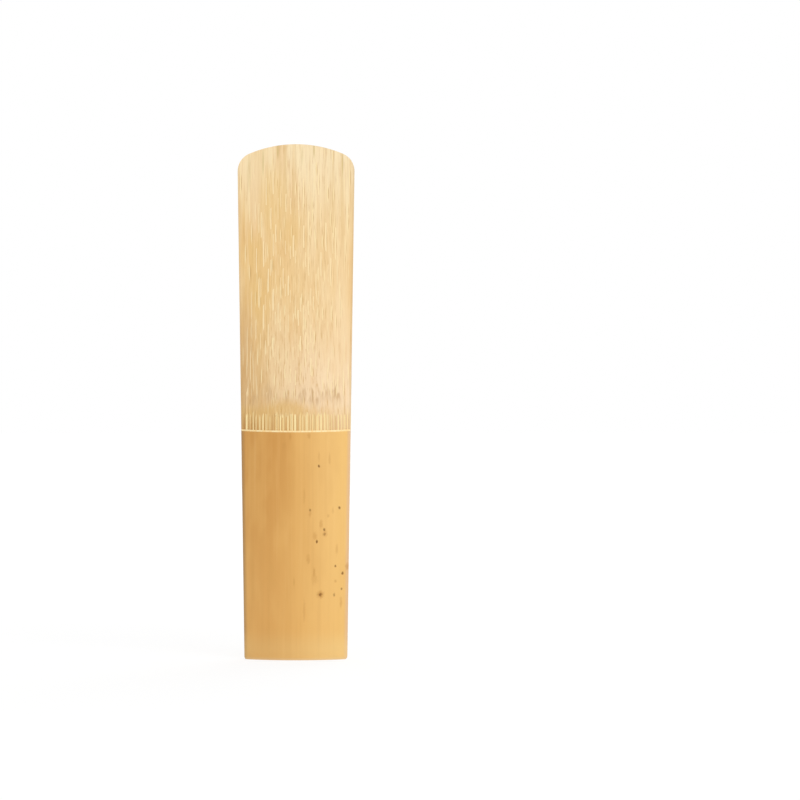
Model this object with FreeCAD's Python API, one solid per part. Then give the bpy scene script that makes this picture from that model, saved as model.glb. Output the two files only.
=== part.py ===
import FreeCAD, Part
import math
import os

from FreeCAD import Vector

# A tenor saxophone reed: one slip of giant reed cane, built from the layers that grew together in it.
# Millimetres. The butt end lies on z = 0 and +Z runs to the tip. The flat back lies on y = 0 and faces +Y,
# and the bark and the vamp face -Y. The origin is the middle of the butt end's edge on the flat back.

# Outline, seen square to the flat back
reed_length = 79.0
tip_width = 18.0
butt_width = 15.75
tip_arc_radius = 18.3
tip_corner_radius = 2.9
butt_corner_radius = 0.4

# Stock, from the flat back to the crown of the bark, and at its two sides
heel_thickness = 3.3
shoulder_side_thickness = 0.85

# Layers of the cane, from the outside inwards
bark_thickness = 0.12
cortex_thickness = 0.45

# Cuts on the front: the bark is filed off in a band, and the vamp slopes from that band to the tip
bark_length = 35.2
filed_band_length = 1.5
file_depth = 0.08
shoulder_lean = 4.5
tip_thickness = 0.1
tip_slope_share = 0.65

# Strands inside the cane's body, in rows that follow the bark. Those of one row stand behind the gaps of the
# row in front. The first gap is to the nearest strand across, and the second to the one right behind.
bundle_width = 0.24
bundle_gap = 0.15
bundle_row_gap = 0.2
bundle_clearance = 0.1

# Smaller strands inside the cortex layer, in rows that stand the same way
small_bundle_width = 0.17
small_bundle_gap = 0.11
small_bundle_row_gap = 0.05
small_bundle_clearance = 0.01

# Strands that the flat back slices open
back_strand_width = 0.34
back_strand_gap = 0.62
back_strand_margin = 0.5
back_strand_depth = tip_thickness / 2

# The narrowest strand as a share of the full width, and the most that a strand strays from its even place
# as a share of the gap beside it
narrowest_strand = 0.6
stray = 0.36

# Strength number on the flat back, read with the tip up
number_height = 2.6
number_width = 1.85
number_stroke = 0.24
number_depth = 0.02
number_place_x = 0.28
number_base_z = 2.85

# The figure's bowl is an arc whose radius is at most a share of the figure's height. Its two ends, in degrees
# from the reader's right, are the free end and the one that meets the straight stroke.
largest_bowl = 0.36
bowl_start = 165.0
bowl_end = -35.0

# How far a cutting shape reaches past what it cuts, and the distance under which two places are the same
overshoot = 1.0
same_place = 1e-6

# Directions
out_of_front = Vector(0, -1, 0)
to_tip = Vector(0, 0, 1)

# Sizes that follow from those above
tip_half = tip_width / 2
butt_half = butt_width / 2
narrow_half = min(tip_half, butt_half)
arc_centre_z = reed_length - tip_arc_radius
side_top_z = arc_centre_z + math.sqrt(tip_arc_radius**2 - tip_half**2)
vamp_start_z = bark_length + filed_band_length
vamp_length = reed_length - vamp_start_z


def half_width(z):
    """Half of the reed's width at a height, between its two straight sides."""
    return butt_half + (tip_half - butt_half) * z / side_top_z


shoulder_half = half_width(bark_length)
shoulder_rise = heel_thickness - shoulder_side_thickness
bark_radius = (shoulder_rise**2 + shoulder_half**2) / (2 * shoulder_rise)
cane_axis_y = bark_radius - heel_thickness
cortex_radius = bark_radius - bark_thickness
filed_radius = cortex_radius - file_depth
body_radius = cortex_radius - cortex_thickness


def blank():
    """The reed's outline, right through the thickness of the stock, with its corners rounded."""
    right_shoulder = Vector(tip_half, 0, side_top_z)
    left_shoulder = Vector(-tip_half, 0, side_top_z)
    right_butt = Vector(butt_half, 0, 0)
    left_butt = Vector(-butt_half, 0, 0)
    edges = [
        Part.LineSegment(left_butt, right_butt).toShape(),
        Part.LineSegment(right_butt, right_shoulder).toShape(),
        Part.Arc(right_shoulder, Vector(0, 0, reed_length), left_shoulder).toShape(),
        Part.LineSegment(left_shoulder, left_butt).toShape(),
    ]
    slab = Part.Face(Part.Wire(edges)).extrude(out_of_front * (heel_thickness + overshoot))
    tip_corners = corner_edges(slab, side_top_z)
    rounded = slab.makeFillet(tip_corner_radius, tip_corners)
    return rounded.makeFillet(butt_corner_radius, corner_edges(rounded, 0))


def corner_edges(slab, z):
    """The edges at a height that run straight through the slab, from front to back."""
    found = []
    for edge in slab.Edges:
        first, last = edge.firstVertex().Point, edge.lastVertex().Point
        runs_through = abs(first.x - last.x) < same_place and abs(first.z - last.z) < same_place
        if runs_through and abs(first.z - z) < same_place:
            found.append(edge)
    return found


def cane_round(radius):
    """The round cane inside a radius, all along the reed."""
    base = Vector(0, cane_axis_y, -overshoot)
    return Part.makeCylinder(radius, reed_length + 2 * overshoot, base, to_tip)


def above_height(z, lean):
    """All space above a plane at a height. It leans, in degrees, so that it drops towards the front."""
    side = 2 * reed_length
    box = Part.makeBox(side, side, side, Vector(-side / 2, -side / 2, z))
    box.rotate(Vector(0, -shoulder_side_thickness, z), Vector(1, 0, 0), lean)
    return box


def filed_thickness(x):
    """Thickness of the filed band at a distance from the centreline."""
    return math.sqrt(filed_radius**2 - x**2) - cane_axis_y


def vamp_thickness(across, from_tip):
    """Thickness of the vamp. across runs from -1 to 1 between the sides, from_tip in millimetres."""
    along = from_tip / vamp_length
    share = tip_slope_share * along + (1 - tip_slope_share) * along**2
    crown = filed_thickness(across * half_width(vamp_start_z))
    return tip_thickness + (crown - tip_thickness) * share


def vamp_cutter():
    """Everything in front of the vamp's surface, from inside the filed band to past the tip."""
    stations = 9
    lanes = 9
    reach_across = 1.05
    first = -overshoot / 2
    last = vamp_length + filed_band_length / 2
    rows = []
    for station in range(stations):
        from_tip = first + (last - first) * station / (stations - 1)
        z = reed_length - from_tip
        row = []
        for lane in range(lanes):
            across = reach_across * (2 * lane / (lanes - 1) - 1)
            row.append(Vector(across * half_width(z), -vamp_thickness(across, from_tip), z))
        rows.append(row)
    surface = Part.BSplineSurface()
    surface.interpolate(rows)
    return surface.toShape().extrude(out_of_front * (heel_thickness + 2 * overshoot))


def number_two():
    """The figure 2 as one bent stroke, sunk into the flat back. It reads from behind, so its right is -X."""
    half = (number_width - number_stroke) / 2
    bowl = min(half, largest_bowl * (number_height - number_stroke))
    top = number_base_z + number_height - number_stroke / 2
    foot = number_base_z + number_stroke / 2
    centre = Vector(number_place_x, 0, top - bowl)

    def on_bowl(degrees):
        turn = math.radians(degrees)
        return centre + Vector(-bowl * math.cos(turn), 0, bowl * math.sin(turn))

    heel = Vector(number_place_x + half, 0, foot)
    toe = Vector(number_place_x - half, 0, foot)
    path = [
        Part.Arc(on_bowl(bowl_start), on_bowl((bowl_start + bowl_end) / 2), on_bowl(bowl_end)).toShape(),
        Part.LineSegment(on_bowl(bowl_end), heel).toShape(),
        Part.LineSegment(heel, toe).toShape(),
    ]
    stroke = Part.Wire(path).makeOffset2D(number_stroke / 2, 0, False, False, True)
    return Part.Face(stroke.Wires).extrude(out_of_front * number_depth)


def scattered(row, index):
    """A repeatable value from -1 to 1 that looks irregular from one strand to the next."""
    turn_per_index = 12.9
    turn_per_row = 78.2
    return math.sin(turn_per_index * index + turn_per_row * row)


def uneven_width(full_width, row, index):
    """A strand's own width, between the narrowest and the full one."""
    fullness = (1 + scattered(row, index)) / 2
    return full_width * (narrowest_strand + (1 - narrowest_strand) * fullness)


def row_of_strands(row, radius, width, gap, row_gap, wall):
    """The strands of one row, as (x, y, width). None comes nearer to the reed's sides than the wall."""
    found = []
    step = 2 * (width + gap) / radius
    half_reach = narrow_half - wall - width / 2
    count = int(math.asin(min(1.0, half_reach / radius)) / step) + 1
    for index in range(-count, count + 1):
        even_angle = (index + 0.5 * (row % 2)) * step
        angle = even_angle + stray * gap / radius * scattered(row, index)
        reach = radius + stray * row_gap * scattered(row + 0.5, 2 * index)
        x = reach * math.sin(angle)
        y = cane_axis_y - reach * math.cos(angle)
        if abs(x) < half_reach:
            found.append((x, y, uneven_width(width, row + 0.25, index)))
    return found


def body_strands():
    """The strands of the cane's body, clear of its round front and of the strands in its flat back."""
    found = []
    width = bundle_width
    row_gap = bundle_row_gap
    back_limit = back_strand_depth + bundle_clearance + width / 2
    radius = body_radius - bundle_clearance - width / 2 - stray * row_gap
    row = 0
    while radius > cane_axis_y:
        for place in row_of_strands(row, radius, width, bundle_gap, row_gap, bundle_clearance):
            if place[1] < -back_limit:
                found.append(place)
        radius -= (width + row_gap) / 2
        row += 1
    return found


def cortex_strands():
    """The small strands of the cortex layer, from just under the bark inwards."""
    found = []
    width = small_bundle_width
    row_gap = small_bundle_row_gap
    inner_limit = body_radius + small_bundle_clearance + width / 2
    radius = cortex_radius - small_bundle_clearance - width / 2 - stray * row_gap
    row = 0
    while radius - stray * row_gap > inner_limit:
        found += row_of_strands(row, radius, width, small_bundle_gap, row_gap, bundle_clearance)
        radius -= (width + row_gap) / 2
        row += 1
    return found


def round_strands(places):
    """Six-sided bars all along the reed, which still have to be trimmed to what holds them."""
    bars = []
    sides = 6
    for x, y, width in places:
        corners = []
        for corner in range(sides + 1):
            turn = 2 * math.pi * corner / sides
            corners.append(Vector(x + width / 2 * math.cos(turn), y + width / 2 * math.sin(turn), 0))
        bars.append(Part.Face(Part.makePolygon(corners)).extrude(to_tip * reed_length))
    return Part.makeCompound(bars)


def back_strands():
    """Flat bars sunk into the flat back all along the reed, which show there as stripes."""
    bars = []
    pitch = back_strand_width + back_strand_gap
    side_stray = stray * back_strand_gap
    count = int((narrow_half - back_strand_margin - back_strand_width / 2 - side_stray) / pitch)
    for index in range(-count, count + 1):
        x = index * pitch + side_stray * scattered(0, index)
        width = uneven_width(back_strand_width, 1, index)
        corner = Vector(x - width / 2, -back_strand_depth, 0)
        bars.append(Part.makeBox(width, back_strand_depth, reed_length, corner))
    return Part.makeCompound(bars)


def build():
    outline = blank()
    cutter = vamp_cutter()
    above_shoulder = above_height(bark_length, shoulder_lean)
    front_of_body = cane_round(body_radius)
    bark = outline.common(cane_round(bark_radius)).cut(cane_round(cortex_radius)).cut(above_shoulder)

    filed_off = above_shoulder.cut(cane_round(filed_radius))
    plain_cortex = outline.common(cane_round(cortex_radius)).cut([front_of_body, filed_off, cutter])
    small_strands = round_strands(cortex_strands())

    number = number_two()
    stripes = outline.common(back_strands()).cut(number)
    plain_body = outline.common(front_of_body).cut(cutter)
    strands = round_strands(body_strands())
    return {
        "bark": bark,
        "cortex_layer": plain_cortex.cut(small_strands),
        "cortex_fibre_bundles": plain_cortex.common(small_strands),
        "cane_body": plain_body.cut([strands, stripes, number]),
        "inner_fibre_bundles": plain_body.common(strands),
        "back_fibre_bundles": stripes,
        "strength_number": number,
    }


os.makedirs("parts", exist_ok=True)
for node, shape in build().items():
    for solid in shape.Solids:
        if not solid.isValid():
            raise ValueError(f"{node} has a solid that is not valid")
    Part.makeCompound(shape.Solids).exportStep(f"parts/{node}.step")
    print(node, len(shape.Solids), "solids", round(shape.Volume, 3), "mm3")
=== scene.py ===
import math
import random

import bmesh
import bpy
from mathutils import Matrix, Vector


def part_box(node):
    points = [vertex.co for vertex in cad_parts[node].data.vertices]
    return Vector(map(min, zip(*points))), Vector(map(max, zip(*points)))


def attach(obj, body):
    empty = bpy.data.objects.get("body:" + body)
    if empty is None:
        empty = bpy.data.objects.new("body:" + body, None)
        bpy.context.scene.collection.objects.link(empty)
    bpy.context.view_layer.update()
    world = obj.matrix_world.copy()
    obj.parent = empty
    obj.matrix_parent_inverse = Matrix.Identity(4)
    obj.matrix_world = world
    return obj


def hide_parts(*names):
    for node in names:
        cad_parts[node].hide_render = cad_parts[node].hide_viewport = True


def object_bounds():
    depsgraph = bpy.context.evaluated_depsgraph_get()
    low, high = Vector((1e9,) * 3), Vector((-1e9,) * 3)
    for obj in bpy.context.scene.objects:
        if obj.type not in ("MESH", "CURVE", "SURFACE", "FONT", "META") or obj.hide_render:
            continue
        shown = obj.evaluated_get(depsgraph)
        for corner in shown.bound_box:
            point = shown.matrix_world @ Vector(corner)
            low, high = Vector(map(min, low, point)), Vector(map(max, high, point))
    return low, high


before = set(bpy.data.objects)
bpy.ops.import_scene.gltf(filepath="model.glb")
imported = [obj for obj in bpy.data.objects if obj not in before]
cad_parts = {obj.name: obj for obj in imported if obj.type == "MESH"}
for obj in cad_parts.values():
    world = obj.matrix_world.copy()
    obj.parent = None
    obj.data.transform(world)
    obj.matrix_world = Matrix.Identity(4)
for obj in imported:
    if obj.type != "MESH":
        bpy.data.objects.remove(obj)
cad_low, cad_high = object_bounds()

# A tenor saxophone reed, standing on its butt end, with the flat back on y = 0, and the bark and
# the vamp facing -Y. The scene is in metres. The reed's own sizes, and places inside materials, are
# in millimetres on the same axes.

MM = 0.001
bark_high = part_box("bark")[1] / MM
reed_length = cad_high.z / MM
heel_thickness = -cad_low.y / MM
shoulder_z = bark_high.z
shoulder_half = bark_high.x
butt_half = 7.875
butt_corner = 0.4
side_thickness = 0.85
bark_thickness = 0.12
shoulder_lean = math.radians(4.5)
side_lean = math.atan2(shoulder_half - butt_half, shoulder_z)

# The round of the cane, which the bark keeps
shoulder_rise = heel_thickness - side_thickness
bark_radius = (shoulder_rise**2 + shoulder_half**2) / (2 * shoulder_rise)
cane_axis_y = bark_radius - heel_thickness

# Strands nearer to the bark's surface than this are the teeth of the comb in the filed band
first_row_depth = 0.28

# Faces that meet at less than this angle are shaded as one
gentle_turn = math.radians(30)


# Small helpers for modelling


def deselect_everything():
    if bpy.context.object and bpy.context.object.mode != "OBJECT":
        bpy.ops.object.mode_set(mode="OBJECT")
    bpy.ops.object.select_all(action="DESELECT")


def work_on(piece):
    deselect_everything()
    piece.select_set(True)
    bpy.context.view_layer.objects.active = piece


def edit(piece, what="FACE"):
    """Opens a piece in edit mode with nothing selected."""
    work_on(piece)
    bpy.ops.object.mode_set(mode="EDIT")
    bpy.ops.mesh.select_mode(type=what)
    bpy.ops.mesh.select_all(action="DESELECT")


def leave_edit():
    bpy.ops.object.mode_set(mode="OBJECT")


def pick(piece, what, wanted):
    """Selects those faces, edges or vertices of the open piece that a test on their place wants."""
    bpy.ops.mesh.select_all(action="DESELECT")
    bpy.ops.mesh.select_mode(type=what)
    mesh = bmesh.from_edit_mesh(piece.data)
    mesh.normal_update()
    parts = {"FACE": mesh.faces, "EDGE": mesh.edges, "VERT": mesh.verts}[what]
    for part in parts:
        part.select_set(bool(wanted(part)))
    mesh.select_flush_mode()
    bmesh.update_edit_mesh(piece.data)


def cut_away(point, normal):
    """Cuts the open piece along a plane, clears the side that the normal points to, and closes the
    cut."""
    bpy.ops.mesh.select_all(action="SELECT")
    bpy.ops.mesh.bisect(plane_co=point, plane_no=normal, clear_outer=True, use_fill=True)


def apply_all_modifiers(piece):
    work_on(piece)
    for modifier in list(piece.modifiers):
        bpy.ops.object.modifier_apply(modifier=modifier.name)


def put_place_in_mesh(piece):
    work_on(piece)
    bpy.ops.object.transform_apply(location=True, rotation=True, scale=True)


def face_outwards(piece):
    edit(piece)
    bpy.ops.mesh.select_all(action="SELECT")
    bpy.ops.mesh.normals_make_consistent(inside=False)
    leave_edit()


def smooth_gentle_turns(piece):
    work_on(piece)
    bpy.ops.object.shade_smooth_by_angle(angle=gentle_turn)


def merged_copy(node, name):
    """A new piece from a CAD node's mesh, with its loose triangles joined."""
    same_place = 1e-7
    piece = bpy.data.objects.new(name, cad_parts[node].data.copy())
    bpy.context.scene.collection.objects.link(piece)
    piece.data.materials.clear()
    edit(piece, "VERT")
    bpy.ops.mesh.select_all(action="SELECT")
    bpy.ops.mesh.remove_doubles(threshold=same_place)
    bpy.ops.mesh.customdata_custom_splitnormals_clear()
    leave_edit()
    return piece


def finish_piece(piece, slot, *nodes):
    """Makes a new piece stand for CAD nodes, on the reed's one body. The slot is not used."""
    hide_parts(*nodes)
    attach(piece, "root")


# Helpers for materials


def srgb(red, green, blue):
    """A colour given as a screen shows it, as the shader wants it."""
    linear = []
    for value in (red, green, blue):
        part = value / 255
        linear.append(part / 12.92 if part <= 0.04045 else ((part + 0.055) / 1.055) ** 2.4)
    return (*linear, 1.0)


def add_node(tree, kind, inputs=None, **settings):
    """Adds a node with its settings. An input is either a value or what comes out of another node."""
    node = tree.nodes.new(kind)
    for name, value in settings.items():
        setattr(node, name, value)
    for key, value in (inputs or {}).items():
        if isinstance(value, bpy.types.NodeSocket):
            tree.links.new(value, node.inputs[key])
        else:
            node.inputs[key].default_value = value
    return node


class Finish:
    """One material, built node by node. Each method adds nodes and returns what comes out of them."""

    def __init__(self, name, roughness, specular):
        self.material = bpy.data.materials.new(name)
        self.material.use_nodes = True
        self.tree = self.material.node_tree
        self.shader = self.tree.nodes["Principled BSDF"]
        self.shader.inputs["Roughness"].default_value = roughness
        self.shader.inputs["Specular IOR Level"].default_value = specular
        coordinates = self.add("ShaderNodeTexCoord").outputs
        metres = {0: coordinates["Object"], "Scale": 1 / MM}
        self.place = self.add("ShaderNodeVectorMath", metres, operation="SCALE").outputs[0]
        self.x, self.y, self.z = self.add("ShaderNodeSeparateXYZ", {0: self.place}).outputs

        # How much a surface faces the front or the back, and how far it is from the reed's nearer side
        facing = self.add("ShaderNodeSeparateXYZ", {0: coordinates["Normal"]}).outputs["Y"]
        self.front = self.rise(facing, -0.3, -0.7)
        self.back = self.rise(facing, 0.3, 0.7)
        half_width = self.plus(self.times(self.z, math.tan(side_lean)), butt_half)
        self.from_side = self.minus(half_width, self.math("ABSOLUTE", self.x))

    def add(self, kind, inputs=None, **settings):
        return add_node(self.tree, kind, inputs, **settings)

    def math(self, operation, first, second=0.0):
        return self.add("ShaderNodeMath", {0: first, 1: second}, operation=operation).outputs[0]

    def times(self, first, *others):
        result = first
        for other in others:
            result = self.math("MULTIPLY", result, other)
        return result

    def plus(self, first, *others):
        result = first
        for other in others:
            result = self.math("ADD", result, other)
        return result

    def minus(self, first, second):
        return self.math("SUBTRACT", first, second)

    def vector(self, operation, first, second):
        return self.add("ShaderNodeVectorMath", {0: first, 1: second}, operation=operation).outputs[0]

    def length(self, vector):
        return self.add("ShaderNodeVectorMath", {0: vector}, operation="LENGTH").outputs["Value"]

    def rise(self, value, low, high, least=0.0, most=1.0):
        """A smooth change from least to most while the value goes from low to high."""
        ends = {"Value": value, "From Min": low, "From Max": high, "To Min": least, "To Max": most}
        return self.add("ShaderNodeMapRange", ends, interpolation_type="SMOOTHSTEP").outputs["Result"]

    def between(self, value, low, high, soft):
        """1 between two values and 0 outside them, with soft ends."""
        up = self.rise(value, low - soft, low + soft)
        down = self.rise(value, high - soft, high + soft, 1.0, 0.0)
        return self.times(up, down)

    def stretched(self, x, y, z, shift=0.0):
        """The place in millimetres, multiplied by a factor along each axis."""
        scaled = self.vector("MULTIPLY", self.place, (x, y, z))
        return self.vector("ADD", scaled, (shift, shift, shift))

    def noise(self, place, detail=2.0, roughness=0.5):
        inputs = {"Vector": place, "Scale": 1.0, "Detail": detail, "Roughness": roughness}
        return self.add("ShaderNodeTexNoise", inputs).outputs["Fac"]

    def mix(self, share, first, second):
        node = self.add("ShaderNodeMix", data_type="RGBA")
        inputs = [socket for socket in node.inputs if socket.enabled]
        for socket, value in zip(inputs, (share, first, second)):
            if isinstance(value, bpy.types.NodeSocket):
                self.tree.links.new(value, socket)
            else:
                socket.default_value = value
        return next(socket for socket in node.outputs if socket.enabled)

    def bump(self, height, depth):
        """Relief whose height runs from 0 to a depth in millimetres."""
        inputs = {"Height": height, "Distance": depth * MM, "Strength": 1.0}
        return self.add("ShaderNodeBump", inputs).outputs["Normal"]

    def finish(self, colour, normal, roughness=None):
        self.tree.links.new(colour, self.shader.inputs["Base Color"])
        self.tree.links.new(normal, self.shader.inputs["Normal"])
        if roughness is not None:
            self.tree.links.new(roughness, self.shader.inputs["Roughness"])
        return self.material


def along_fibres(f, across, front_z, back_z, shift=0.0):
    """The place for a pattern of fibres, in cells: so many to the millimetre across the cane, and
    fewer along it. Those that the vamp cuts are short, and those in the flat back are long."""
    along = f.plus(f.times(f.front, front_z - back_z), back_z)
    cells = {0: f.times(f.x, across), 1: f.times(f.y, across), 2: f.times(f.z, along)}
    place = f.add("ShaderNodeCombineXYZ", cells).outputs[0]
    return f.vector("ADD", place, (shift, shift, shift))


def fibre_cells(f, place, size, least, most):
    """Thin fibres, drawn as dots on the cane's section. Gives how far a place is inside a fibre's
    light core, and inside the dark pore at its right."""
    cells = f.add("ShaderNodeTexVoronoi", {"Vector": place, "Scale": 1.0}, voronoi_dimensions="3D")
    own = f.add("ShaderNodeSeparateColor", {0: cells.outputs["Color"]}).outputs[0]
    shown = f.rise(own, least, most)
    offset = f.vector("SUBTRACT", place, cells.outputs["Position"])
    core = f.rise(f.length(offset), size, size * 0.5)
    beside = f.vector("SUBTRACT", offset, (size * 1.15, 0, 0))
    pore = f.rise(f.length(beside), size * 0.8, size * 0.35)
    return f.times(core, shown), f.times(pore, shown)


def marks(f, places, wobble=(0, 0, 0)):
    """How far a place is inside any of the listed marks, whose edges a wobble makes uneven. Each
    mark is its x, z, half width, half height and strength. It fades out across its edge."""
    fade_start = 0.3
    fade_end = 1.3
    total = None
    for x, z, half_width, half_height, strength in places:
        scale = (1 / half_width, 0, 1 / half_height)
        shift = (-x / half_width, 0, -z / half_height)
        moved = f.vector("ADD", f.vector("MULTIPLY", f.place, scale), shift)
        distance = f.length(f.vector("ADD", moved, wobble))
        inside = f.rise(distance, fade_end, fade_start, 0.0, strength)
        total = inside if total is None else f.math("MAXIMUM", total, inside)
    return total


# The cut cane: the vamp, the flat back, the sides and the butt

# Honey-coloured patches in the vamp
honey_places = [
    (-3.4, 70.5, 2.4, 5.5, 0.5),
    (-0.6, 66.0, 1.6, 4.0, 0.35),
    (-6.3, 62.5, 1.4, 3.5, 0.4),
    (-5.6, 55.5, 1.6, 4.5, 0.4),
]

# Paler patches in it
pale_places = [
    (-6.4, 71.5, 1.1, 7.5, 0.5),
    (6.9, 52.0, 1.2, 14.0, 0.35),
    (5.4, 44.5, 2.2, 4.0, 0.4),
]

# The tan patch along its left edge, above the filed band
tan_places = [
    (-7.8, 46.5, 1.6, 9.5, 0.35),
]

# Olive lines in the vamp that end at the tip's edge
tip_lines = [
    (-7.2, 74.5, 0.34, 3.0, 0.3),
    (-5.05, 76.2, 0.17, 2.3, 0.5),
    (-2.8, 78.1, 0.18, 1.5, 0.6),
    (0.9, 77.2, 0.22, 1.6, 0.25),
    (2.75, 78.2, 0.16, 1.5, 0.6),
    (7.15, 76.0, 0.16, 2.0, 0.45),
]

# Where the vamp runs out of the cortex into the body, brown flames show
flame_places = [
    (-6.5, 40.8, 0.9, 2.2, 0.45),
    (-4.0, 41.0, 1.4, 2.4, 0.45),
    (-1.5, 40.2, 1.3, 2.0, 0.6),
    (1.0, 40.4, 1.0, 2.2, 0.65),
    (2.8, 40.3, 1.1, 2.0, 0.85),
    (4.4, 41.0, 0.8, 2.0, 0.6),
    (6.0, 40.5, 1.2, 2.2, 0.75),
]

# Pale lines all along the flat back, as x and strength
back_line_places = [
    (8.1, 0.7),
    (7.4, 0.3),
    (6.3, 0.85),
    (5.45, 0.75),
    (3.0, 0.25),
    (1.95, 0.85),
    (1.0, 0.95),
    (-0.1, 0.35),
    (-2.35, 0.95),
    (-3.7, 0.3),
    (-4.7, 0.35),
    (-5.6, 0.65),
    (-6.85, 0.35),
    (-7.45, 0.6),
]

pore_brown = srgb(200, 150, 86)


def back_lines(f):
    """The pale lines of the flat back, and the darker one beside each. They waver a little, and
    fade towards the tip."""
    half_width = 0.2
    dark_offset = 1.6 * half_width
    dark_share = 0.45
    middle_z = reed_length / 2
    endless = 10 * reed_length
    fade_start_z = 58.0
    waver = f.vector("MULTIPLY", (1.0, 0, 0), f.minus(f.noise(f.stretched(0, 0, 0.12)), 0.5))
    fade = f.rise(f.z, reed_length, fade_start_z, 0.4, 1.0)
    pale = []
    dark = []
    for x, strength in back_line_places:
        pale.append((x, middle_z, half_width, endless, strength))
        dark.append((x - dark_offset, middle_z, half_width, endless, dark_share * strength))
    return f.times(marks(f, pale, waver), fade), f.times(marks(f, dark, waver), fade)


def flames(f):
    """The flames taper upwards from feet at uneven heights, and fibres break them up."""
    pitch = 1.3
    foot_z = 39.2
    foot_spread = 7.0
    sway = 1.6
    steepness = 4.5
    raggedness = 2.4
    soft_tip = 0.8
    climb = f.times(f.minus(f.noise(f.stretched(0.5, 0, 0, 6.5)), 0.5), foot_spread)
    height = f.minus(f.z, climb)
    lean = f.noise(f.stretched(0.8, 0, 0.35, 2.0))
    tongue = f.math("PINGPONG", f.plus(f.x, f.times(lean, sway)), pitch / 2)
    rough = f.noise(f.stretched(3.5, 0, 0.7, 9.0), detail=3.0)
    reach = f.plus(f.times(tongue, steepness), f.times(rough, raggedness))
    above = f.minus(height, f.plus(reach, foot_z - 1.2))
    from_foot = f.rise(height, foot_z - 1.3, foot_z + 0.8)
    inside = f.times(f.rise(above, soft_tip, -soft_tip), from_foot)
    hatching = f.rise(f.noise(f.stretched(3.2, 0, 0.45, 12.0)), 0.38, 0.58, 0.35, 1.15)
    return f.times(inside, hatching, marks(f, flame_places))


def filed_warmth(f):
    """The yellower cortex that the file bared. It reaches furthest up left of the middle, and is
    paler on the right."""
    arch_x = -1.4
    arch_half_width = 5.0
    arch_height = 1.1
    lowest_top_z = 37.9
    from_arch = f.math("ABSOLUTE", f.minus(f.x, arch_x))
    arch = f.rise(from_arch, arch_half_width, 0.0, 0.0, arch_height)
    uneven = f.noise(f.stretched(1.5, 0, 0.2, 6.0))
    top = f.plus(arch, uneven, lowest_top_z)
    inside = f.rise(f.minus(f.z, top), 1.0, -0.9, 0.0, 0.75)
    return f.times(inside, f.rise(f.x, 6.0, 0.0, 0.35, 1.0))


def comb_shade(f):
    """The shade between the teeth of the comb. It is deepest against the bark, and on the left."""
    top_z = 37.2
    deepest_z = 34.8
    unevenness = 0.9
    uneven = f.noise(f.stretched(2.0, 0, 0.1, 8.0))
    height = f.minus(f.z, f.times(uneven, unevenness))
    deep = f.rise(height, top_z, deepest_z, 0.0, 0.75)
    side = f.rise(f.x, 2.0, -7.5, 0.3, 0.95)
    margin = f.rise(f.from_side, 0.1, 0.6, 0.6, 1.0)
    return f.times(deep, side, margin)


def below_comb_top(f):
    """1 in the comb and 0 above it. How high the teeth reach changes from one to the next."""
    lowest_top_z = 35.9
    spread = 3.2
    softness = 0.25
    top = f.plus(f.times(f.noise(f.stretched(3.0, 0, 0, 4.0)), spread), lowest_top_z)
    return f.rise(f.minus(f.z, top), softness, -softness)


def fine_teeth(f):
    """The thinnest teeth, between those that are modelled: how pale, and the painted shade in their gaps,
    which is deeper on the left.
    """
    pitch = 0.3
    tooth_core = 0.03
    tooth_edge = 0.08
    gap_core = 0.13
    sway = 0.8
    waver = f.noise(f.stretched(0.9, 0, 0.02, 5.0))
    from_middle = f.math("PINGPONG", f.plus(f.x, f.times(waver, sway)), pitch / 2)
    inside = below_comb_top(f)
    some = f.rise(f.noise(f.stretched(1.7, 0, 0.02, 9.0)), 0.38, 0.56)
    shown = f.times(some, f.rise(f.x, -8.0, -3.0, 0.45, 0.85))
    gap_shade = f.times(f.rise(from_middle, tooth_edge, gap_core), f.rise(f.x, -2.0, 6.0, 0.6, 0.35))
    pale = f.times(f.rise(from_middle, tooth_edge, tooth_core), f.times(shown, inside))
    return pale, f.times(gap_shade, inside)


def broad_colour(f):
    """The cane's colour before its grain: tan low on the left, palest at the tip, and another on
    the flat back."""
    right = f.rise(f.x, -8.5, 4.0)
    low_part = f.mix(right, srgb(228, 187, 127), srgb(247, 218, 180))
    vamp_part = f.mix(right, srgb(240, 200, 135), srgb(242, 208, 153))
    tip_part = f.mix(right, srgb(250, 225, 179), srgb(251, 229, 187))
    front_part = f.mix(f.rise(f.z, 38.0, 58.0), low_part, vamp_part)
    front_part = f.mix(f.rise(f.z, 64.0, 77.0), front_part, tip_part)
    back_part = f.mix(f.rise(f.z, 50.0, 25.0), srgb(227, 191, 138), srgb(234, 202, 153))
    back_part = f.mix(f.rise(f.z, 9.0, 2.0), back_part, srgb(250, 221, 180))
    back_part = f.mix(f.rise(f.z, 65.0, 77.0), back_part, srgb(242, 213, 168))
    return f.mix(f.back, front_part, back_part)


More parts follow.
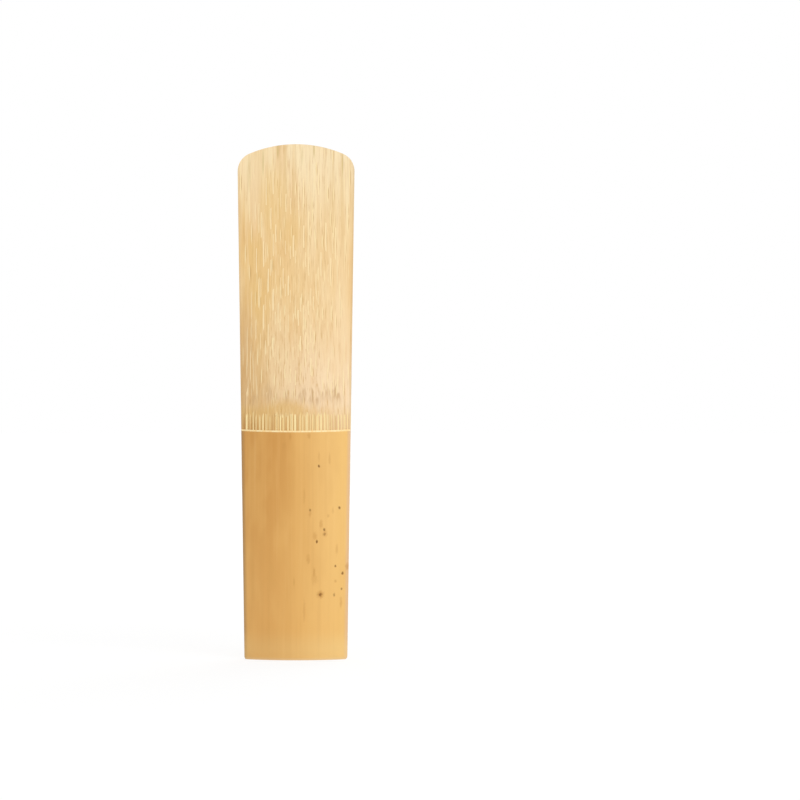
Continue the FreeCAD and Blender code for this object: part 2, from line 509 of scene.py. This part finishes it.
def grained(f, colour):
    """Soft patches, bands, grain and fibres over a colour. They run along the cane, so the slanting
    vamp cuts them short. Gives the colour and the relief."""
    patches = f.noise(f.stretched(0.45, 0.6, 0.07, 3.0))
    colour = f.mix(f.rise(patches, 0.48, 0.68, 0.0, 0.4), colour, srgb(249, 220, 174))
    colour = f.mix(f.rise(patches, 0.5, 0.32, 0.0, 0.4), colour, srgb(234, 190, 130))

    # The bands are strongest near the tip
    bands = f.noise(f.stretched(1.3, 0.3, 0.02, 11.0), detail=3.0)
    banded = f.rise(f.z, 60.0, 72.0, 0.12, 0.5)
    colour = f.mix(f.times(f.rise(bands, 0.5, 0.66), banded), colour, srgb(255, 234, 190))
    colour = f.mix(f.times(f.rise(bands, 0.5, 0.34), banded), colour, srgb(230, 196, 138))

    # The dark grain is coarser low on the front
    grain = f.noise(along_fibres(f, 5.0, 0.15, 0.05), detail=4.0, roughness=0.65)
    colour = f.mix(f.rise(grain, 0.52, 0.74, 0.0, 0.5), colour, srgb(255, 229, 180))
    low_front = f.times(f.front, f.rise(f.z, 56.0, 44.0))
    coarse = f.plus(f.times(low_front, 0.35), 0.5)
    colour = f.mix(f.times(f.rise(grain, 0.5, 0.28), coarse), colour, srgb(214, 170, 110))

    # The fibres are clearest off the flat back
    core, pore = fibre_cells(f, along_fibres(f, 3.1, 0.16, 0.02, 4.0), 0.36, 0.35, 0.6)
    clear = f.rise(f.back, 0.0, 1.0, 0.85, 0.4)
    colour = f.mix(f.times(core, clear), colour, srgb(255, 232, 180))
    colour = f.mix(f.times(pore, f.times(clear, 0.75)), colour, srgb(202, 154, 90))
    return colour, f.minus(f.plus(grain, core), pore)


def ground(f):
    """The colour and relief of cut ground tissue. A strand that hardly shows takes this colour too."""
    colour, relief = grained(f, broad_colour(f))
    fine_pale, fine_gap_shade = fine_teeth(f)
    for share, tint in (
        (marks(f, honey_places), srgb(236, 196, 126)),
        (marks(f, pale_places), srgb(252, 224, 180)),
        (marks(f, tan_places), srgb(214, 166, 112)),
        (flames(f), srgb(211, 174, 128)),
        (filed_warmth(f), srgb(228, 186, 116)),
        (comb_shade(f), srgb(202, 146, 80)),
        # Painted shade in the gaps between the finest teeth
        (fine_gap_shade, srgb(200, 146, 78)),
        (fine_pale, srgb(255, 226, 160)),
        (marks(f, tip_lines), srgb(205, 178, 112)),
    ):
        colour = f.mix(f.times(f.front, share), colour, tint)
    colour = f.mix(f.rise(f.from_side, 0.45, 0.0, 0.0, 0.4), colour, srgb(205, 172, 124))
    back_pale, back_dark = back_lines(f)
    colour = f.mix(f.times(f.back, back_dark), colour, srgb(205, 168, 118))
    colour = f.mix(f.times(f.back, back_pale), colour, srgb(255, 228, 178))
    return colour, relief


def cut_cane():
    """Sanded ground tissue: honey coloured, with fine fibres, pale streaks with brown pores, and
    flames low down."""
    f = Finish("cut_cane", roughness=0.62, specular=0.25)
    colour, relief = ground(f)
    return f.finish(colour, f.bump(relief, 0.01))


def strand_shown(f, tone, comb):
    """How much a strand shows. On the front most do in the comb, hardly any right above it, and
    fewer near the tip. Elsewhere they are faint."""
    calm_low_z = 37.2
    calm_high_z = 40.4
    thinning_z = 71.0
    calm = f.times(f.between(f.z, calm_low_z, calm_high_z, 0.4), 0.85)
    loose = f.times(f.rise(tone, 0.0, 0.9), f.minus(1.0, calm))
    shown = f.math("MAXIMUM", loose, f.times(comb, f.rise(tone, -0.55, 0.65)))
    shown = f.times(shown, f.rise(f.z, reed_length, thinning_z, 0.5, 1.0))
    elsewhere = f.times(f.minus(1.0, f.front), f.times(tone, 0.4))
    return f.plus(f.times(shown, f.front), elsewhere)


def pale_fibre():
    """The cut strands: pale straw with a brown pore along the right edge. Each stands out by its own
    tone."""
    f = Finish("pale_fibre", roughness=0.55, specular=0.25)
    tone = f.add("ShaderNodeAttribute", attribute_name="tone").outputs["Fac"]
    across = f.add("ShaderNodeAttribute", attribute_name="across").outputs["Fac"]
    under, relief = ground(f)
    comb = below_comb_top(f)
    shown = strand_shown(f, tone, comb)

    # The pale core is narrower than the strand, and the comb's teeth are split by dark hairlines
    core = f.rise(f.math("ABSOLUTE", across), 1.0, 0.45)
    straw = f.mix(comb, srgb(255, 231, 182), srgb(255, 232, 172))
    colour = f.mix(f.times(shown, core, 0.95), under, straw)
    pore = f.times(f.rise(across, 0.35, 0.75), f.times(shown, 0.85))
    pore = f.times(pore, f.minus(1.0, f.times(comb, 0.7)))
    colour = f.mix(pore, colour, pore_brown)
    hairlines = f.rise(f.noise(f.stretched(4.5, 0, 0.04, 7.0)), 0.53, 0.64, 0.0, 0.6)
    colour = f.mix(f.times(hairlines, comb, f.front), colour, pore_brown)
    return f.finish(colour, f.bump(relief, 0.006))


# Specks and smudges of the bark: x, z, half width, half height, and how dark
bark_specks = [
    (3.6, 29.6, 0.18, 0.26, 0.9),
    (6.7, 23.2, 0.19, 0.24, 0.85),
    (2.25, 22.9, 0.16, 0.26, 0.65),
    (4.4, 19.9, 0.20, 0.26, 0.8),
    (4.45, 19.2, 0.22, 0.28, 0.5),
    (3.25, 18.1, 0.18, 0.28, 1.0),
    (6.1, 14.3, 0.16, 0.22, 0.85),
    (7.15, 13.2, 0.20, 0.26, 0.85),
    (7.0, 10.8, 0.17, 0.20, 0.7),
    (3.8, 10.0, 0.26, 0.28, 0.8),
    (5.9, 9.9, 0.18, 0.36, 0.55),
]
bark_smudges = [
    (2.25, 22.4, 0.22, 0.60, 0.5),
    (3.9, 20.7, 0.30, 0.80, 0.5),
    (4.5, 19.3, 0.40, 0.60, 0.5),
    (3.0, 18.9, 0.35, 0.60, 0.5),
    (1.95, 15.4, 0.34, 0.75, 0.5),
    (2.85, 13.3, 0.22, 0.90, 0.6),
    (2.9, 12.3, 0.50, 0.90, 0.3),
    (3.8, 10.0, 0.60, 0.62, 0.85),
    (7.85, 14.2, 0.30, 0.60, 0.7),
    (6.1, 12.0, 0.20, 0.25, 0.5),
    (6.3, 16.8, 0.22, 0.90, 0.4),
    (5.0, 22.0, 0.25, 0.30, 0.4),
    (5.7, 22.8, 0.20, 0.60, 0.3),
    (1.35, 25.0, 0.18, 1.30, 0.35),
    (3.6, 31.0, 0.22, 0.80, 0.35),
    (5.2, 30.7, 0.18, 0.90, 0.4),
    (-0.8, 34.1, 0.22, 0.55, 0.5),
    (2.1, 34.2, 0.30, 0.50, 0.5),
    (-1.7, 32.6, 0.40, 0.80, 0.25),
    (-0.2, 11.9, 0.14, 0.80, 0.4),
    (1.35, 7.6, 0.20, 1.90, 0.35),
    (6.9, 8.7, 0.22, 0.90, 0.45),
]


def bark_tan(f):
    """The bark's tan, painted darker to the left as shade, with soft blotches, a lighter lengthwise band
    that is a painted soft highlight, fine lines, painted shade along the left side's edge and painted
    light along the right side's, and a paler end of its own at the butt. Gives the colour and the lines."""
    # Painted shade: the tan is darker to the left, away from the light on the right
    right = f.rise(f.x, -4.5, 8.0)
    left_part = f.mix(f.rise(f.z, 2.0, 33.0), srgb(228, 173, 97), srgb(213, 154, 79))
    colour = f.mix(right, left_part, srgb(240, 192, 112))
    blotches = f.noise(f.stretched(0.3, 0.3, 0.1))
    colour = f.mix(f.rise(blotches, 0.48, 0.68, 0.0, 0.3), colour, srgb(238, 188, 110))
    colour = f.mix(f.rise(blotches, 0.5, 0.32, 0.0, 0.18), colour, srgb(214, 160, 84))
    # A lighter lengthwise band down the middle: a painted soft highlight
    painted_sheen_band = f.times(f.between(f.x, -0.2, 1.0, 0.9), 0.6)
    colour = f.mix(painted_sheen_band, colour, srgb(233, 180, 102))
    lines = f.noise(f.stretched(1.8, 1.8, 0.04), detail=4.0, roughness=0.55)
    colour = f.mix(f.rise(lines, 0.5, 0.75, 0.0, 0.15), colour, srgb(246, 204, 134))
    colour = f.mix(f.rise(lines, 0.5, 0.25, 0.0, 0.15), colour, srgb(204, 150, 80))

    # Painted shade along the left side's edge, and painted light along the right side's, as the light
    # comes from the right
    edge = f.rise(f.from_side, 0.7, 0.1)
    edge_shade_and_light = f.mix(f.rise(f.x, -1.0, 1.0), srgb(168, 134, 92), srgb(228, 188, 144))
    colour = f.mix(f.times(edge, f.rise(f.x, -1.0, 1.0, 0.6, 0.9)), colour, edge_shade_and_light)
    butt_part = f.mix(right, srgb(234, 195, 126), srgb(243, 211, 144))
    colour = f.mix(f.rise(f.z, 5.0, 1.4, 0.0, 0.42), colour, butt_part)
    colour = f.mix(f.rise(f.z, 0.5, 0.0, 0.0, 0.5), colour, srgb(232, 204, 164))
    return colour, lines


def satin_bark():
    """The satin rind: its tan, with the specks and smudges in it, which are also rougher."""
    f = Finish("satin_bark", roughness=0.45, specular=0.3)
    colour, lines = bark_tan(f)
    wobble_reach = 1.2
    swirl_inputs = {"Vector": f.stretched(2.5, 2.5, 2.5), "Scale": 1.0, "Detail": 2.0}
    swirl = f.add("ShaderNodeTexNoise", swirl_inputs).outputs["Color"]
    centred = f.vector("SUBTRACT", swirl, (0.5, 0.5, 0.5))
    wobble = f.vector("MULTIPLY", centred, (wobble_reach, 0, wobble_reach))
    smudge = marks(f, bark_smudges, wobble)
    colour = f.mix(f.times(smudge, 0.75), colour, srgb(196, 138, 66))
    speck = marks(f, bark_specks, wobble)
    colour = f.mix(speck, colour, srgb(124, 78, 16))
    height = f.minus(lines, f.times(speck, 0.5))
    rough = f.rise(f.math("MAXIMUM", speck, smudge), 0.0, 1.0, 0.45, 0.6)
    return f.finish(colour, f.bump(height, 0.006), rough)


def filed_edge():
    """The bark's edge at the shoulder, where the file has bared the pale layer under the gloss."""
    f = Finish("filed_edge", roughness=0.5, specular=0.3)
    grain = f.noise(f.stretched(2.2, 2.2, 0.6), detail=3.0)
    colour = f.mix(f.rise(grain, 0.35, 0.65), srgb(255, 218, 152), srgb(255, 234, 182))
    return f.finish(colour, f.bump(grain, 0.005))


def burnt_cane():
    """The mottled brown of the figure on the back."""
    f = Finish("burnt_cane", roughness=0.7, specular=0.2)
    mottle = f.noise(f.stretched(9.0, 9.0, 5.0), detail=3.0)
    colour = f.mix(f.rise(mottle, 0.35, 0.65), srgb(92, 52, 18), srgb(128, 82, 38))
    return f.finish(colour, f.bump(mottle, 0.01))


# The pieces


def bark_tube():
    """A thin tube round the cane's axis, a little longer than the bark at both ends, in
    millimetres."""
    margin = 2.0
    tube_sides = 720
    deselect_everything()
    bpy.ops.mesh.primitive_cylinder_add(
        vertices=tube_sides,
        radius=bark_radius,
        depth=shoulder_z + 2 * margin,
        end_fill_type="NOTHING",
        location=(0, cane_axis_y, shoulder_z / 2),
    )
    tube = bpy.context.object
    tube.name = "bark_rind"
    put_place_in_mesh(tube)
    wall = tube.modifiers.new("thickness", "SOLIDIFY")
    wall.thickness = bark_thickness
    wall.offset = -1
    apply_all_modifiers(tube)
    return tube


def cut_side(side):
    """Cuts the open tube along one of the reed's straight sides, with the butt's round corner and a
    narrow chamfer along the outer edge. The side is -1 for the left and 1 for the right."""
    chamfer_depth = 0.03
    corner_cuts = 6
    outward = Vector((side * math.cos(side_lean), 0, -math.sin(side_lean)))
    cut_away((side * butt_half, 0, 0), outward)
    for cut in range(1, corner_cuts):
        turn = math.pi / 2 * cut / corner_cuts
        normal = Vector((side * math.cos(turn), 0, -math.sin(turn)))
        middle = Vector((side * (butt_half - butt_corner), 0, butt_corner))
        cut_away(middle + butt_corner * normal, normal)

    # The chamfer lies half way between the two faces that meet there
    side_y = -(math.sqrt(bark_radius**2 - butt_half**2) - cane_axis_y)
    low = Vector((side * butt_half, side_y, 0))
    high = Vector((side * shoulder_half, -side_thickness, shoulder_z))
    along = (high - low).normalized()
    off_axis = Vector((low.x, low.y - cane_axis_y, 0)).normalized()
    between = (outward + off_axis).normalized()
    between = (between - between.dot(along) * along).normalized()
    cut_away(low - chamfer_depth * between, between)


def file_shoulder(bark):
    """Bevels the open bark's outer edge at the shoulder, draws the bevel's lower line down, and
    gives the two finishes."""
    filed_width = 0.1
    filed_stretch = 0.15
    surface_slack = 0.01
    edge_slack = 0.002
    upward = 0.15

    def outside(point):
        return math.hypot(point.x, point.y - cane_axis_y) > bark_radius - surface_slack

    def below_shoulder(point):
        drop = (-side_thickness - point.y) * math.tan(shoulder_lean)
        return shoulder_z - drop - point.z

    def shoulder_edge(part):
        return all(outside(end.co) and abs(below_shoulder(end.co)) < edge_slack for end in part.verts)

    def filed_face(part):
        return part.normal.z > upward and below_shoulder(part.calc_center_median()) < filed_width

    def filed_low(vertex):
        return outside(vertex.co) and 0.5 * filed_width < below_shoulder(vertex.co) < 1.5 * filed_width

    pick(bark, "EDGE", shoulder_edge)
    bpy.ops.mesh.bevel(offset=filed_width, segments=1, affect="EDGES")
    bark.data.materials.append(satin_bark())
    bark.data.materials.append(filed_edge())
    pick(bark, "FACE", filed_face)
    bark.active_material_index = 1
    bpy.ops.object.material_slot_assign()
    pick(bark, "VERT", filed_low)
    bpy.ops.transform.translate(value=(0, 0, -filed_stretch))


def make_bark():
    """The rind: a thin tube, cut down to the flat back, the butt, the shoulder and the reed's sides.
    It is modelled in millimetres and brought to its size at the end."""
    bark = bark_tube()
    edit(bark)
    cut_away((0, 0, 0), (0, 1, 0))
    cut_away((0, 0, 0), (0, 0, -1))
    cut_away((0, -side_thickness, shoulder_z), (0, -math.sin(shoulder_lean), math.cos(shoulder_lean)))
    for side in (-1, 1):
        cut_side(side)
    file_shoulder(bark)
    leave_edit()
    bark.scale = (MM, MM, MM)
    put_place_in_mesh(bark)
    face_outwards(bark)
    smooth_gentle_turns(bark)
    finish_piece(bark, "bark", "bark")


def strands_of(mesh):
    """The separate strands of a mesh, each as a list of its vertices, from left to right."""
    unseen = set(mesh.verts)
    found = []
    for start in mesh.verts:
        if start not in unseen:
            continue
        unseen.discard(start)
        strand = [start]
        for vertex in strand:
            for edge in vertex.link_edges:
                other = edge.other_vert(vertex)
                if other in unseen:
                    unseen.discard(other)
                    strand.append(other)
        found.append(strand)
    return sorted(found, key=lambda strand: (min(v.co.x for v in strand), min(v.co.y for v in strand)))


def shape_strands(piece, seed, widen, proud):
    """Widens each strand about its own middle, lifts it towards the front, and notes its tone, and
    on each vertex how far across the strand it lies, from -1 to 1."""
    chance = random.Random(seed)
    edit(piece, "VERT")
    mesh = bmesh.from_edit_mesh(piece.data)
    mesh.verts.layers.float.new("tone")
    mesh.verts.layers.float.new("across")
    tone = mesh.verts.layers.float["tone"]
    across = mesh.verts.layers.float["across"]
    for strand in strands_of(mesh):
        left = min(vertex.co.x for vertex in strand)
        right = max(vertex.co.x for vertex in strand)
        front = min(vertex.co.y for vertex in strand)
        middle = (left + right) / 2
        own_tone = chance.random()
        for vertex in strand:
            vertex[tone] = own_tone
            vertex[across] = 2 * (vertex.co.x - left) / (right - left) - 1
            vertex.select_set(True)
        bmesh.update_edit_mesh(piece.data)
        factor = widen(middle / MM, front / MM, chance)
        bpy.ops.transform.resize(value=(factor, 1, 1), center_override=(middle, 0, 0))
        for vertex in strand:
            vertex.select_set(False)
    bpy.ops.mesh.select_all(action="SELECT")
    bpy.ops.transform.translate(value=(0, -proud * MM, 0))
    leave_edit()
    smooth_gentle_turns(piece)


def make_strands(node, name, seed, widen, proud, fibre):
    """A piece that stands for a node of strands, each widened by its own factor."""
    piece = merged_copy(node, name)
    shape_strands(piece, seed, widen, proud)
    piece.data.materials.append(fibre)
    finish_piece(piece, "fibre", node)


def widen_body_strand(x, y, chance):
    return chance.uniform(1.0, 1.5)


def widen_cortex_strand(x, y, chance):
    """The strands right under the bark are the teeth of the comb in the filed band, and wider."""
    depth = bark_radius - math.hypot(x, y - cane_axis_y)
    return chance.uniform(1.5, 3.4) if depth < first_row_depth else chance.uniform(1.0, 1.3)


def keep_width(x, y, chance):
    return 1.0


def dress_node(node, material):
    """A CAD node that stays as it is and gets a better finish."""
    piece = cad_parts[node]
    piece.data.materials.clear()
    piece.data.materials.append(material)


# Stage, light and camera, in metres


def make_stage():
    """A white floor: for the camera it is nearly all glow, a little stronger away from the reed, and
    the rest takes the reed's shadow."""
    bpy.ops.mesh.primitive_plane_add(size=6.0, location=(0, 0, 0))
    floor = bpy.context.object
    floor.name = "floor"
    material = bpy.data.materials.new("pale_floor")
    material.use_nodes = True
    tree = material.node_tree
    tree.nodes.clear()
    place = add_node(tree, "ShaderNodeTexCoord").outputs["Object"]
    from_reed = add_node(tree, "ShaderNodeVectorMath", {0: place}, operation="LENGTH").outputs["Value"]
    glow_ends = {"Value": from_reed, "From Min": 0.05, "From Max": 0.6, "To Min": 0.785, "To Max": 0.85}
    strength = add_node(tree, "ShaderNodeMapRange", glow_ends).outputs["Result"]
    glow = add_node(tree, "ShaderNodeEmission", {"Strength": strength}).outputs[0]
    faintly_lit = add_node(tree, "ShaderNodeBsdfDiffuse", {"Color": (0.25, 0.25, 0.25, 1)}).outputs[0]
    for_camera = add_node(tree, "ShaderNodeAddShader", {0: glow, 1: faintly_lit}).outputs[0]
    lit = add_node(tree, "ShaderNodeBsdfDiffuse", {"Color": (0.9, 0.9, 0.9, 1)}).outputs[0]
    seen = add_node(tree, "ShaderNodeLightPath").outputs["Is Camera Ray"]
    by_ray = add_node(tree, "ShaderNodeMixShader", {0: seen, 1: lit, 2: for_camera}).outputs[0]
    add_node(tree, "ShaderNodeOutputMaterial", {0: by_ray})
    floor.data.materials.append(material)


def make_world():
    """White where the camera and reflections see it, and a plain soft light on the reed."""
    white = (1, 1, 1, 1)
    soft_strength = 0.69
    world = bpy.data.worlds.new("studio")
    bpy.context.scene.world = world
    world.use_nodes = True
    tree = world.node_tree
    tree.nodes.clear()
    rays = add_node(tree, "ShaderNodeLightPath").outputs
    seen = rays["Is Camera Ray"]
    for other in ("Is Glossy Ray", "Is Transmission Ray"):
        seen = add_node(tree, "ShaderNodeMath", {0: seen, 1: rays[other]}, operation="MAXIMUM").outputs[0]
    soft = add_node(tree, "ShaderNodeBackground", {"Color": white, "Strength": soft_strength}).outputs[0]
    full = add_node(tree, "ShaderNodeBackground", {"Color": white, "Strength": 1.0}).outputs[0]
    by_ray = add_node(tree, "ShaderNodeMixShader", {0: seen, 1: soft, 2: full}).outputs[0]
    add_node(tree, "ShaderNodeOutputWorld", {0: by_ray})


def make_lamp(name, azimuth, power):
    """A round soft lamp that looks down at the middle of the reed. Azimuth 0 is in front, and 90 on
    the right."""
    distance = 0.8
    climb = math.radians(20)
    data = bpy.data.lights.new(name, "AREA")
    data.shape = "DISK"
    data.size = 0.6
    data.energy = power
    lamp = bpy.data.objects.new(name, data)
    bpy.context.scene.collection.objects.link(lamp)
    turn = math.radians(azimuth)
    reach = distance * math.cos(climb)
    outwards = Vector((reach * math.sin(turn), -reach * math.cos(turn), distance * math.sin(climb)))
    lamp.location = Vector((0, 0, cad_high.z / 2)) + outwards
    lamp.rotation_euler = (-outwards).to_track_quat("-Z", "Y").to_euler()


def make_camera():
    """Square to the front. The reed stands left of the picture's middle."""
    distance = 0.45
    right_of_reed = 0.01596
    above_floor = 0.0397
    picture_width = 0.1229
    data = bpy.data.cameras.new("camera")
    camera = bpy.data.objects.new("camera", data)
    bpy.context.scene.collection.objects.link(camera)
    data.sensor_width = 36.0
    data.lens = data.sensor_width * distance / picture_width
    data.clip_start = 0.01
    camera.location = (right_of_reed, -distance, above_floor)
    camera.rotation_euler = (math.radians(90), 0, 0)
    bpy.context.scene.camera = camera


cane = cut_cane()
fibre = pale_fibre()
dress_node("cane_body", cane)
dress_node("cortex_layer", cane)
dress_node("strength_number", burnt_cane())
make_bark()
make_strands("inner_fibre_bundles", "body_strands", 3, widen_body_strand, 0.006, fibre)
make_strands("cortex_fibre_bundles", "comb_strands", 5, widen_cortex_strand, 0.02, fibre)
make_strands("back_fibre_bundles", "back_stripes", 7, keep_width, 0.0, fibre)
make_stage()
make_world()
make_lamp("window", azimuth=35, power=2.1)
make_lamp("back_light", azimuth=160, power=1.8)
make_camera()
bpy.context.scene.view_settings.view_transform = "Standard"
